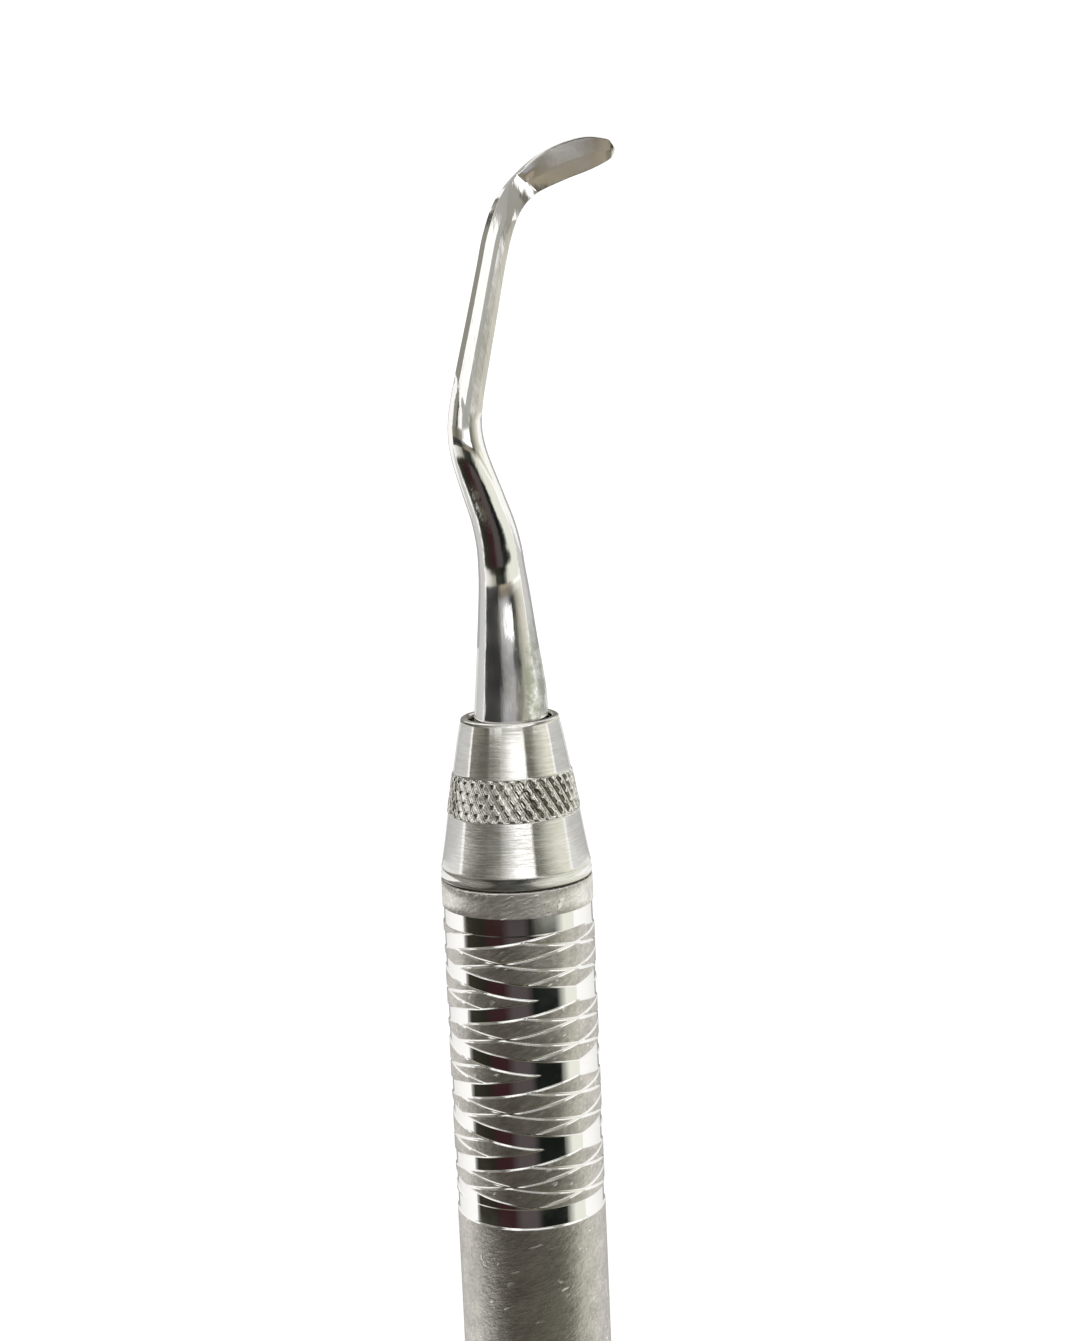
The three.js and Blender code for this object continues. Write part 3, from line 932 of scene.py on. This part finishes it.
def build_vault(name, radius, bands):
    """A painted vault over the instrument, with its light smooth between the stated places."""
    places = np.array([place for place, _ in bands], float)
    along = np.append(np.arange(places[0], places[-1], VAULT_STEP), places[-1])
    angles = np.arange(-VAULT_HALF_TURN, VAULT_HALF_TURN + VAULT_ANGLE_STEP, VAULT_ANGLE_STEP)
    painted = np.zeros((len(places), len(angles), 3))
    for row, (_, stops) in enumerate(bands):
        known = [angle for angle, _ in stops]
        levels = np.array([light for _, light in stops])
        for channel in range(3):
            painted[row, :, channel] = np.interp(angles, known, levels[:, channel])
    before = np.clip(np.searchsorted(places, along, "right") - 1, 0, len(places) - 2)
    share = (along - places[before]) / (places[before + 1] - places[before])
    share = share[:, None, None]
    spread = painted[before] * (1 - share) + painted[before + 1] * share
    x, a = np.meshgrid(along, np.radians(angles), indexing="ij")
    points = np.stack([x, -radius * np.sin(a), AXIS_HEIGHT + radius * np.cos(a)], -1) * MM
    index = np.arange(x.size).reshape(x.shape)
    quads = np.stack([index[:-1, :-1], index[:-1, 1:], index[1:, 1:], index[1:, :-1]], -1)
    quads = quads.reshape(-1, 4)
    glow = [emitting(name + "_glow")]
    vault = new_mesh_object(name, points.reshape(-1, 3), quads, glow, np.zeros(len(quads)))
    paint_mesh(vault.data, spread.reshape(-1, 3))
    only_mirrored(vault)


def build_end_card(name, place, half, top, foot_light, top_light):
    """An upright card across a vault's end, for faces that look along the instrument."""
    x, half, top = place * MM, half * MM, top * MM
    corners = [(x, -half, 0), (x, half, 0), (x, half, top), (x, -half, top)]
    card = flat_card(name, corners, emitting(name + "_glow"))
    paint_mesh(card.data, np.array([foot_light, foot_light, top_light, top_light]))
    only_mirrored(card)


def build_floor(name, drop, albedo, glow_strength):
    """A table top in a matt grey that may also glow."""
    made, nodes, links = empty_material(name)
    matt = nodes.new("ShaderNodeBsdfDiffuse")
    matt.inputs["Color"].default_value = (albedo, albedo, albedo, 1)
    glow = nodes.new("ShaderNodeEmission")
    glow.inputs["Color"].default_value = (1, 1, 1, 1)
    glow.inputs["Strength"].default_value = glow_strength
    both = nodes.new("ShaderNodeAddShader")
    output = nodes.new("ShaderNodeOutputMaterial")
    links.new(matt.outputs["BSDF"], both.inputs[0])
    links.new(glow.outputs["Emission"], both.inputs[1])
    links.new(both.outputs["Shader"], output.inputs["Surface"])
    half, z = FLOOR_SIZE / 2 * MM, -drop * MM
    corners = [(-half, -half, z), (half, -half, z), (half, half, z), (-half, half, z)]
    floor = flat_card(name, corners, made)
    return floor


def build_floors():
    """One top that the camera sees, kept white, and the ones that only the steel mirrors."""
    seen = build_floor("table_seen", FLOOR_DROP, FLOOR_ALBEDO, FLOOR_GLOW)
    seen.visible_glossy = False
    seen.visible_diffuse = False
    mirrored = build_floor("table_mirrored", 2 * FLOOR_DROP, MIRRORED_ALBEDO, 0.0)
    mirrored.visible_camera = False
    for name, drop, centre, length, width, albedo in SHADES:
        shade = build_floor(name, drop, albedo, 0.0)
        shade.location.x = centre * MM
        shade.scale = (length / FLOOR_SIZE, width / FLOOR_SIZE, 1)
        shade.visible_camera = False


def build_world():
    world = bpy.data.worlds.new("studio")
    world.use_nodes = True
    sky = world.node_tree.nodes["Background"]
    sky.inputs["Color"].default_value = (1, 1, 1, 1)
    sky.inputs["Strength"].default_value = WORLD_LIGHT
    bpy.context.scene.world = world
    bpy.context.scene.view_settings.view_transform = "Standard"


def build_camera():
    data = bpy.data.cameras.new("camera")
    data.lens = CAMERA_LENS
    data.sensor_width = CAMERA_SENSOR
    data.clip_start, data.clip_end = CAMERA_CLIP
    camera = add_to_scene("camera", data)
    place = placed(CAMERA_OUT, CAMERA_SIDE, CAMERA_HEIGHT, False)
    turn = Matrix((CAMERA_RIGHT, CAMERA_UP, CAMERA_BACK)).transposed().to_4x4()
    camera.matrix_world = Matrix.Translation(place) @ turn
    bpy.context.scene.camera = camera


build_world()
build_camera()
build_floors()
build_vault("near_vault", NEAR_RADIUS, NEAR_VAULT)
build_vault("far_vault", FAR_RADIUS, FAR_VAULT)
build_end_card("near_end", NEAR_VAULT[0][0], NEAR_RADIUS, NEAR_RADIUS, GREEN_BLACK, GREEN_BLACK)
build_end_card("front_end", FAR_VAULT[-1][0], FAR_RADIUS, END_TOP, END_FOOT, END_SKY)
build_end_card("rear_end", FAR_VAULT[0][0], FAR_RADIUS, END_TOP, END_FOOT, END_SKY)
build_handle()
for end_name, is_rear in (("front", False), ("rear", True)):
    build_insert(end_name, is_rear)
    build_seal(end_name, is_rear)
    build_cone(end_name, is_rear)
    build_tip(end_name, is_rear)
